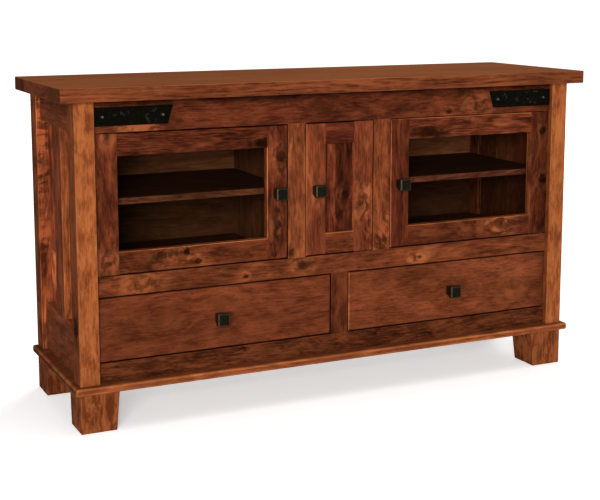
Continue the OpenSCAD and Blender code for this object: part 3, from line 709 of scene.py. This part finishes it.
def rim_painted_light_and_shade(x0, x1, z0, z1, left=2.2, top=0.0):
    """The outer edges of a door or drawer front are painted dark, a painted shade in the gaps, apart from the lit ones
    painted light as a painted highlight.
    Left and top are how light those are. The edges of its opening are painted lighter where they face left or up,
    towards the light, and darker where they face away: painted light and painted shade."""
    def shade(n, m):
        if n[1] < -0.97 or n[1] > 0.5:
            return {}
        if abs(m[0] - x0) < 1.7 and left and n[1] < -0.3:
            return dict(tone=left, warm=0.0)
        if abs(m[2] - z1) < 1.7 and top and n[1] < -0.3:
            return dict(tone=top, warm=0.2)
        if min(abs(m[0] - x0), abs(m[0] - x1), abs(m[2] - z0), abs(m[2] - z1)) < 1.7:
            return dict(tone=0.27, warm=-0.2, wear_and_highlight=0.0)
        if n[0] < -0.3:
            return dict(tone=1.8, warm=0.3)
        if n[2] > 0.3:
            return dict(tone=1.35, warm=0.2)
        return dict(tone=0.7, wear_and_highlight=0.0)
    return shade


BOARDS = [
    ("top_slab", None, dict(strips=(-118, 4, 122), tone=1.0, curl=0.05, vary=0.3, slope=0.0, shade=top_sheen_shade)),
    ("post_front_left", None, dict(shade=side_painted_shade, grain="z", wide="x", tone=0.74, warm=0.07, curl=0.3, mineral=0.05, seed=0.31, knots=((-724, -178, 262, 21, 1.0, 0.7, 0.0),))),
    ("post_front_right", None, dict(shade=side_painted_shade, grain="z", wide="x", tone=0.83, warm=0.16, curl=0.25, mineral=0.1, seed=0.77)),
    # The top rail carries a painted shadow under the slab's overhang.
    ("face_top_rail", None, dict(shadow=("z", ((790, 0.0), (808, 0.12), (819, 0.42), (829, 0.72))), tone=0.61, warm=-0.18, curl=0.1, mineral=0.3, seed=0.12, knots=((333, -193, 761, 6, 0.9, 0.6, 0.5), (433, -193, 775, 14, 0.1, 0.2, 0.7), (-562, -193, 755, 12, 0.0, 0.0, 1.0), (-60, -193, 800, 14, 0.0, 0.5, 0.0)))),
    ("face_middle_rail", None, dict(tone=0.8, warm=0.04, curl=0.1, mineral=0.15, seed=0.45, knots=((-273, -193, 356, 5, 0.95, 0.5, 0.5), (-111, -193, 371, 10, 0.2, 0.7, 0.7), (244, -193, 361, 8, 0.6, 0.1, 0.9), (-560, -193, 366, 16, 0.0, 0.1, 0.5)))),
    ("face_bottom_rail", None, dict(tone=0.53, warm=0.09, mineral=0.5, seed=0.57, streak=1.4)),
    ("door_stiles", (-127, -180, 560), dict(tone=1.11, warm=0.14, seed=0.22, mineral=0.05, mottle=0.6, knots=((-143, -193, 409, 6, 0.7, 0.6, 0.4),))),
    ("door_stiles", (127, -180, 560), dict(tone=0.96, warm=0.08, curl=1.1, mineral=0.2, seed=0.66, mottle=1.6)),
    ("drawer_stile", None, dict(tone=0.56, warm=-0.09, seed=0.35, mineral=0.25)),
    ("left_door_frame", (-640, -180, 570), dict(tone=0.72, warm=-0.08, mineral=0.3, seed=0.14, band=1.5, slope=0.12, knots=((-636, -193, 742, 8, 0.3, 0.7, 0.6), (-641, -193, 427, 10, 0.1, 0.7, 0.6)))),
    ("left_door_frame", (-183, -180, 570), dict(tone=0.76, warm=-0.12, mineral=0.5, seed=0.81, mottle=1.6, knots=((-172, -193, 664, 12, 0.35, 0.75, 0.55), (-186, -193, 480, 9, 0.1, 0.8, 0.4)))),
    ("left_door_frame", (-400, -180, 420), dict(tone=0.75, warm=0.02, curl=0.2, mineral=0.15, seed=0.36, knots=((-430, -193, 436, 7, 0.95, 0.8, 0.9), (-503, -193, 434, 11, 0.3, 0.8, 0.3), (-405, -193, 411, 6, 0.5, 0.5, 0.9), (-465, -193, 437, 8, 0.1, 0.7, 0.5)))),
    ("left_door_frame", (-400, -180, 720), dict(tone=0.48, warm=-0.19, mineral=0.2, seed=0.93, streak=2.0, knots=((-225, -193, 705, 10, 0.7, 0.9, 0.1),))),
    ("right_door_frame", (183, -180, 570), dict(tone=0.66, warm=-0.18, mineral=0.15, seed=0.27, mottle=0.7)),
    # The right stile of the right door is painted darker towards the right post: painted shade.
    ("right_door_frame", (640, -180, 570), dict(shadow=("x", ((600, 0.0), (645, 0.08), (671, 0.3))), tone=0.54, warm=-0.12, mineral=0.5, seed=0.48, mottle=1.6, knots=((654, -193, 695, 7, 0.8, 0.6, 0.4), (656, -193, 551, 8, 0.8, 0.6, 0.5)))),
    ("right_door_frame", (400, -180, 420), dict(tone=0.62, warm=-0.07, mineral=0.2, seed=0.63, knots=((423, -193, 446, 13, 0.0, 0.3, 0.5), (518, -193, 431, 13, 0.0, 0.0, 1.0)))),
    ("right_door_frame", (400, -180, 720), dict(tone=0.81, warm=-0.1, mineral=0.3, seed=0.05, streak=1.7, knots=((268, -193, 703, 12, 0.2, 1.0, 0.0),))),
    ("center_door_frame", (-70, -180, 570), dict(tone=1.1, warm=0.01, seed=0.52, mottle=0.6)),
    ("center_door_frame", (70, -180, 570), dict(tone=1.02, warm=-0.06, curl=0.5, mineral=0.25, seed=0.71, mottle=1.4, knots=((61, -193, 530, 13, 0.1, 0.65, 0.75),))),
    ("center_door_frame", (0, -180, 420), dict(tone=0.91, warm=0.08, seed=0.18)),
    ("center_door_frame", (0, -180, 720), dict(tone=0.53, warm=-0.35, seed=0.88)),
    ("center_door_panel", None, dict(grain="z", streak=1.5, tone=0.41, warm=-0.27, mineral=0.2, seed=0.41, strips=(-33, -9), strip_tones=(0.9, 1.8, 0.95), mottle=1.35, band=1.3, knots=((8, -184, 514, 12, 1.0, 0.85, 0.3), (20, -184, 548, 9, 0.3, 0.8, 0.5)))),
    ("left_drawer_front", None, dict(tone=0.75, warm=-0.02, curl=0.2, mineral=0.1, seed=0.29, knots=((-500, -193, 282, 22, 0.0, 0.4, 0.0), (-345, -193, 294, 12, 0.0, 0.4, 0.1)))),
    # The right drawer front is painted darker towards the right post: painted shade.
    ("right_drawer_front", None, dict(shadow=("x", ((28, 0.0), (590, 0.0), (645, 0.2), (671, 0.32))), tone=0.88, warm=0.07, curl=0.2, mineral=0.08, seed=0.83, knots=((560, -193, 250, 14, 0.0, 0.4, 0.2),))),
    ("base_board", None, dict(shade=base_shade, grain="x", tone=1.23, warm=0.2, seed=0.39, strips=(-120, 2, 118))),
    ("feet_front", None, dict(tone=0.55, warm=-0.01, mottle=2.0, band=2.0)),
    ("feet_back", None, dict(tone=0.46, warm=-0.1, mottle=2.0, band=2.0)),
    ("back_panel", None, dict(shade=back_painted_light, grain="x", tone=1.5, warm=0.3, strips=(300, 450, 573), strip_tones=(1.0, 0.93, 0.95, 1.06), cuts=(("x", 127),))),
    ("post_back_left", None, dict(shadow=("z", ((60, -0.4), (225, -0.4), (275, 0.0), (650, 0.05), (700, -0.2), (790, -0.55), (835, -0.3))), tone=1.1, warm=0.1, curl=0.95, mineral=0.2, shade=back_post_painted_shade, seed=0.17)),
    ("post_back_right", None, dict(shadow=("z", ((60, -0.4), (225, -0.4), (275, 0.0), (650, 0.05), (700, -0.2), (790, -0.55), (835, -0.3))), tone=1.1, warm=0.1, curl=0.95, mineral=0.2, shade=back_post_painted_shade, seed=0.73)),
    ("side_rails_left", None, dict(tone=0.85, warm=0.1, mineral=0.0, curl=0.0, band=0.3, mottle=0.5, streak=0.8, shade=rail_painted_light)),
    ("side_rails_right", None, dict(tone=0.85, warm=0.1, mineral=0.0, curl=0.0, band=0.3, mottle=0.5, streak=0.8, shade=rail_painted_light)),
    ("side_mullions", None, dict(tone=0.98, warm=0.15, mineral=0.1, shade=mullion_painted_light)),
    ("side_panel_left", None, dict(grain="z", wide="y", tone=1.32, warm=-0.04, curl=0.3, mineral=0.25, seed=0.44, strips=(-80, 8, 92), mottle=1.5, cuts=(("z", 573),), shade=inner_side_painted_shade, knots=((-693, 142, 448, 8, 1.0, 0.6, 0.2), (-693, 142, 372, 20, 0.0, 0.0, 1.0)))),
    ("side_panel_right", None, dict(grain="z", wide="y", tone=1.1, warm=0.07, curl=0.25, mineral=0.15, seed=0.95, strips=(-72, 10, 88), mottle=1.2, cuts=(("z", 573),), shade=inner_side_painted_shade)),
]


def spec_for(node, bm):
    co = np.array([v.co for v in bm.verts]) / MM
    lo, hi = co.min(0) - 1.0, co.max(0) + 1.0
    mid = (lo + hi) / 2
    seed = (abs(mid[0] * 0.0137 + mid[1] * 0.0291 + mid[2] * 0.0173) + len(node) * 0.113) % 1.0
    rnd = random.Random(int(seed * 99991))
    out = dict(seed=seed, tone=rnd.uniform(0.92, 1.06), warm=rnd.uniform(-0.3, 0.3), mineral=rnd.uniform(0.0, 0.3), curl=rnd.uniform(0.0, 0.2))
    for n, p, d in BOARDS:
        if n == node and (p is None or all(lo[k] <= p[k] <= hi[k] for k in range(3))):
            out.update(d)
    return out


FRAME = ("face_top_rail", "face_middle_rail", "face_bottom_rail", "door_stiles", "drawer_stile", "post_front_left", "post_front_right", "top_slab", "base_board")
SIDE = ("side_rails_left", "side_rails_right", "side_mullions", "post_front_left", "post_front_right", "post_back_left", "post_back_right", "top_slab", "base_board")
BOXES = {n: [box_of(bm) for bm in solids_of(n)] for n in set(FRAME + SIDE)}


def wood(node, mat, ease=1.6, segments=2, joined=(), look=None, **extra):
    """joined: nodes whose boards this one is glued to. Its edges are square in the joints."""
    pile = Pile()
    solids = solids_of(node)
    boxes = [box_of(bm) for bm in solids] + [b for n in joined for b in BOXES[n]]
    for bm in solids:
        pick = away_from(bm, boxes) if joined else None
        ease_edges(bm, ease * MM, segments, pick)
        s = spec_for(node, bm)
        s.update(extra)
        pile.board(bm, **s)
    return pile.finish(node + "_wood", mat, BODY[node], node, look=look)


wood("top_slab", "top_wood", 2.2, 3)
wood("base_board", "case_wood", 5.5, 4)
for n in ("post_front_left", "post_front_right", "feet_front", "feet_back"):
    wood(n, "post_wood", 2.0, 3)
for n in ("post_back_left", "post_back_right"):
    wood(n, "case_wood", 2.0, 3, grain="z")
for n in ("side_rails_left", "side_rails_right", "side_mullions"):
    wood(n, "case_wood", 1.0, joined=[q for q in SIDE if q != n])
for n in ("side_panel_left", "side_panel_right"):
    wood(n, "case_wood", 0.5, 1)
for n in ("face_top_rail", "face_middle_rail", "face_bottom_rail", "door_stiles", "drawer_stile"):
    wood(n, "face_wood", 1.0, joined=[q for q in FRAME if q != n], shade=gap_painted_shade)
for n, rim in (("left_door_frame", (-671, -155, 394.5, 747.5, 0.0)), ("right_door_frame", (155, 671, 394.5, 747.5, 1.5, 1.15)), ("center_door_frame", (-99, 99, 394.5, 747.5, 0.8))):
    wood(n, "door_wood", 1.9, joined=("top_slab",), shade=rim_painted_light_and_shade(*rim))
wood("center_door_panel", "door_wood", 0.8)
for n in ("left_door_beads", "right_door_beads"):
    wood(n, "door_wood", 0.9)
for n, rim in (("left_drawer_front", (-671, -28, 174.5, 338.5, 0.0)), ("right_drawer_front", (28, 671, 174.5, 338.5, 1.4))):
    wood(n, "door_wood", 2.1, 3, look="drawer_wood", shade=rim_painted_light_and_shade(*rim))
for n in ("shelf_left", "shelf_center", "shelf_right"):
    wood(n, "inner_wood", 1.4, strips=(-60, 70), grain="x", vary=0.4, shade=shelf_shade)
wood("cabinet_floor", "inner_wood", 0.8, strips=(-80, 20, 120), grain="x", vary=0.4)
# The partitions are painted much lighter: painted light on the walls inside the compartments.
for n in ("partition_left", "partition_right"):
    wood(n, "inner_wood", 0.8, grain="z", strips=(-90, 20, 120), vary=0.4, tone=1.9, warm=0.2, mottle=0.6)
wood("drawer_partition", "inner_wood", 0.8, grain="z", strips=(-50, 80), vary=0.4)
wood("slide_cleats", "inner_wood", 1.0)
wood("back_panel", "inner_wood", 0.6, 1)
for n in ("left_drawer_box", "right_drawer_box"):
    wood(n, "drawer_box_wood", 1.2)


# ---------------------------------------------------------------- iron, bronze, glass and steel

def coords(t, scale=(1.0, 1.0, 1.0)):
    tc = t.new("ShaderNodeTexCoord")
    return t.vec("MULTIPLY", tc.outputs["Object"], scale)


m, t = material("black_iron")
p = coords(t)
n1 = t.noise(p, 260.0, 3.0, 0.6)
n2 = t.noise(p, 38.0, 2.0, 0.5)
rub_and_glint = t.xyz(t.attr("rub_and_glint"))[0]
col = t.mixc(t.ramp(n1, 0.35, 0.75), (0.0016, 0.0014, 0.0006, 1), (0.005, 0.0042, 0.0018, 1))
# Faces marked by the attribute are painted paler: painted glints on the screw crowns and the strap ridges.
col = t.mixc(rub_and_glint, col, (0.10, 0.095, 0.08, 1))
rough = t.math("ADD", t.math("MULTIPLY", n2, 0.15), 0.24)
n = t.principled(col, rough, Metallic=0.0, Specular_IOR_Level=0.12, Specular_Tint=(1.0, 0.97, 0.88, 1.0))
t.put(n.inputs["Normal"], t.bump(n1, 0.2, 0.0003))
MATS["black_iron"] = m

m, t = material("dark_bronze")
p = coords(t)
n1 = t.noise(p, 180.0, 3.0, 0.6)
n2 = t.noise(p, 700.0, 2.0, 0.5)
rub_and_glint = t.xyz(t.attr("rub_and_glint"))[0]
col = t.mixc(n1, (0.006, 0.0048, 0.0019, 1), (0.010, 0.0084, 0.0036, 1))
# Faces marked by the attribute are painted paler: rubbed bare bronze, and a painted highlight on the knobs' rims.
col = t.mixc(t.math("MULTIPLY", rub_and_glint, t.ramp(n1, 0.3, 0.6, 0.7, 1.0)), col, (0.075, 0.056, 0.04, 1))
rough = t.math("ADD", t.math("MULTIPLY", n1, 0.2), 0.3)
n = t.principled(col, rough, Metallic=0.0, Specular_IOR_Level=0.15, Specular_Tint=(1.0, 0.95, 0.8, 1.0))
t.put(n.inputs["Normal"], t.bump(n2, 0.12, 0.0002))
MATS["dark_bronze"] = m

m, t = material("door_glass")
fr = t.new("ShaderNodeFresnel")
fr.inputs["IOR"].default_value = 1.45
tr = t.new("ShaderNodeBsdfTransparent")
tr.inputs[0].default_value = (0.82, 0.83, 0.815, 1.0)
gl = t.new("ShaderNodeBsdfGlossy")
gl.inputs["Color"].default_value = (1.0, 1.0, 1.0, 1.0)
gl.inputs["Roughness"].default_value = 0.02
ms = t.new("ShaderNodeMixShader")
t.put(ms.inputs[0], t.math("MULTIPLY", fr.outputs[0], 0.1))
t.put(ms.inputs[1], tr.outputs[0])
t.put(ms.inputs[2], gl.outputs[0])
out = t.new("ShaderNodeOutputMaterial")
t.put(out.inputs[0], ms.outputs[0])
MATS["door_glass"] = m

m, t = material("hinge_brass")
p = coords(t)
n1 = t.noise(p, 400.0, 2.0, 0.5)
col = t.mixc(n1, (0.10, 0.062, 0.026, 1), (0.17, 0.11, 0.048, 1))
t.principled(col, t.math("ADD", t.math("MULTIPLY", n1, 0.2), 0.32), Metallic=1.0)
MATS["hinge_brass"] = m

m, t = material("slide_steel")
p = coords(t, (1.0, 0.03, 1.0))
n1 = t.noise(p, 900.0, 2.0, 0.5)
col = t.mixc(n1, (0.50, 0.51, 0.53, 1), (0.68, 0.69, 0.70, 1))
t.principled(col, t.math("ADD", t.math("MULTIPLY", n1, 0.18), 0.26), Metallic=1.0)
MATS["slide_steel"] = m
MATS["strike_steel"] = m

m, t = material("catch_plastic")
p = coords(t)
n1 = t.noise(p, 300.0, 2.0, 0.5)
col = t.mixc(n1, (0.045, 0.026, 0.017, 1), (0.065, 0.038, 0.026, 1))
t.principled(col, 0.45, Specular_IOR_Level=0.4)
MATS["catch_plastic"] = m


def dress(node, mat, ease=None):
    """A CAD node keeps its shape and gets its finish."""
    o = NODES[node]
    for s in o.material_slots:
        s.link = "OBJECT"
        s.material = MATS[mat]
    if ease:
        w = o.modifiers.new("weld", "WELD")
        w.merge_threshold = 2e-6
        b = o.modifiers.new("ease", "BEVEL")
        b.width = ease * MM
        b.segments = 2
        b.limit_method = "ANGLE"
        b.angle_limit = math.radians(50)
        b.harden_normals = False
    return o


for n in NODES:
    if n.endswith("glass"):
        dress(n, "door_glass")
    elif n in ("shelf_pins", "hinge_pivots") or n.endswith("hinge_leaves"):
        dress(n, "hinge_brass")
    elif n == "door_catches":
        dress(n, "catch_plastic")
    elif n.endswith("strike"):
        dress(n, "strike_steel")
    elif "slide_" in n and "members" in n:
        dress(n, "slide_steel")


def plain(name, bm, mat, body, *replaced, angle=40.0, rub_and_glint=None):
    """A piece that isn't wood, with a per-face amount, 0 to 1, of paler colour: rubbed bare metal, or a painted glint.
    """
    bmesh.ops.recalc_face_normals(bm, faces=bm.faces)
    bm.normal_update()
    rub_and_glint_amounts = [rub_and_glint(f) if rub_and_glint else 0.0 for f in bm.faces]
    me = bpy.data.meshes.new(name)
    bm.to_mesh(me)
    bm.free()
    at = me.attributes.new("rub_and_glint", "FLOAT_VECTOR", "FACE")
    at.data.foreach_set("vector", np.array([(r, 0.0, 0.0) for r in rub_and_glint_amounts], np.float32).ravel())
    me.polygons.foreach_set("use_smooth", [True] * len(me.polygons))
    me.set_sharp_from_angle(angle=math.radians(angle))
    me.materials.append(MATS[mat])
    o = bpy.data.objects.new(name, me)
    scene.collection.objects.link(o)
    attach(o, body)
    if replaced:
        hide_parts(*replaced)
    return o


# Knobs: square faces with a bevelled rim on a tapering neck; the rim is painted paler, partly as rubbed bare bronze and
# partly as a painted highlight, most on the side bevels
for n in ("left_door_knob", "right_door_knob", "center_door_knob", "left_drawer_knob", "right_drawer_knob"):
    bm = solids_of(n)[0]
    front = min(v.co.y for v in bm.verts)
    edges = [e for e in bm.edges if len(e.link_faces) == 2 and e.is_convex and e.calc_face_angle(0.0) > 0.4]
    bmesh.ops.bevel(bm, geom=edges, offset=1.0 * MM, offset_type="OFFSET", segments=2, profile=0.5, affect="EDGES", clamp_overlap=True)

    # The rim is painted paler: rubbed bare bronze, and a painted highlight on the side bevels.
    def rub_and_glint(f):
        m, q = f.calc_center_median(), f.normal
        on_rim = m.y < front + 1.6 * MM and 0.2 < -q.y < 0.97
        return 0.75 if on_rim and abs(q.x) > 0.3 else (0.35 if on_rim else 0.0)

    o = plain(n + "_metal", bm, "dark_bronze", BODY[n], n, angle=60.0, rub_and_glint=rub_and_glint)
    w = o.modifiers.new("normals", "WEIGHTED_NORMAL")
    w.keep_sharp = True


# Strap screws: domed heads with a painted glint at the crown
pile = bmesh.new()
for bm in solids_of("strap_screws"):
    tmp = bpy.data.meshes.new("tmp")
    bm.to_mesh(tmp)
    bm.free()
    pile.from_mesh(tmp)
    bpy.data.meshes.remove(tmp)


# Painted glint: the crown of each screw head is painted pale.
def crown_glint(f):
    m = f.calc_center_median() / MM
    d = min(math.hypot(abs(m.x) - a, m.z - 789.5) for a in (649.5, 494.5))
    return 1.0 if d < 2.6 and m.y < -197.5 else 0.05


plain("strap_screws_iron", pile, "black_iron", BODY["strap_screws"], "strap_screws", angle=40.0, rub_and_glint=crown_glint)


# Corner straps: hammered iron, dented by a round hammer face
def strap(side):
    rnd = random.Random(71 + side)
    x_out, x_up, x_low, z0, z1, y0, y1 = 673.5, 467.5, 481.5, 766.0, 813.0, -196.5, -193.5
    nu, nv = 150, 36
    dents = []
    while len(dents) < 210:
        dents.append((rnd.uniform(x_up - 4, x_out + 4), rnd.uniform(z0 - 3, z1 + 3), rnd.uniform(4.5, 8.5), rnd.uniform(0.35, 0.85)))
    dents = np.array(dents)
    screws = ((649.5, 789.5), (494.5, 789.5))
    bm = bmesh.new()
    front, back = [], []
    for j in range(nv + 1):
        rf, rb = [], []
        v = j / nv
        z = z0 + (z1 - z0) * v
        x_in = x_low + (x_up - x_low) * v
        for k in range(nu + 1):
            x = x_out + (x_in - x_out) * k / nu
            d = np.hypot(dents[:, 0] - x, dents[:, 1] - z) / dents[:, 2]
            dip = float(np.max(dents[:, 3] * np.clip(1 - d * d, 0, None), initial=0.0))
            near = min(math.hypot(x - a, z - b) for a, b in screws)
            dip *= min(max((near - 5.5) / 4.0, 0.0), 1.0)
            rim = min(z - z0, z1 - z, x_out - x, x - x_in)
            ease = 1.3 * (1 - math.sqrt(max(0.0, 1 - (1 - min(rim / 1.6, 1.0)) ** 2)))
            y = y0 + max(dip, ease)
            wob = 0.35 * math.sin(x * 0.31 + side) * math.sin(x * 0.113 + 2) if (j in (0, nv)) else 0.0
            zz = z + (abs(wob) if j == 0 else -abs(wob))
            rf.append(bm.verts.new((side * x * MM, y * MM, zz * MM)))
            rb.append(bm.verts.new((side * x * MM, y1 * MM, zz * MM)))
        front.append(rf)
        back.append(rb)
    for j in range(nv):
        for k in range(nu):
            bm.faces.new((front[j][k], front[j][k + 1], front[j + 1][k + 1], front[j + 1][k]))
    bm.faces.new([back[0][k] for k in range(nu + 1)] + [back[j][nu] for j in range(1, nv + 1)] + [back[nv][k] for k in range(nu - 1, -1, -1)] + [back[j][0] for j in range(nv - 1, 0, -1)])
    for k in range(nu):
        bm.faces.new((front[0][k], back[0][k], back[0][k + 1], front[0][k + 1]))
        bm.faces.new((front[nv][k + 1], back[nv][k + 1], back[nv][k], front[nv][k]))
    for j in range(nv):
        bm.faces.new((front[j + 1][0], back[j + 1][0], back[j][0], front[j][0]))
        bm.faces.new((front[j][nu], back[j][nu], back[j + 1][nu], front[j + 1][nu]))
    used = {v for f in bm.faces for v in f.verts}
    for v in [v for v in bm.verts if v not in used]:
        bm.verts.remove(v)
    return bm


bm = strap(-1)
other = strap(1)
tmp = bpy.data.meshes.new("tmp")
other.to_mesh(tmp)
other.free()
bm.from_mesh(tmp)
bpy.data.meshes.remove(tmp)
ridge = random.Random(5)


def ridge_glint(f):
    """Painted glints: some of the highest ridges between the dents in the middle of a strap are painted paler."""
    m = f.calc_center_median() / MM
    if f.normal.y > -0.6 or m.y > -196.42 or not 510 < abs(m.x) < 636 or not 771 < m.z < 808:
        return 0.0
    return ridge.choice((0.0, 0.0, 0.1, 0.4))


plain("corner_straps_iron", bm, "black_iron", "cabinet", "corner_straps", angle=60.0, rub_and_glint=ridge_glint)
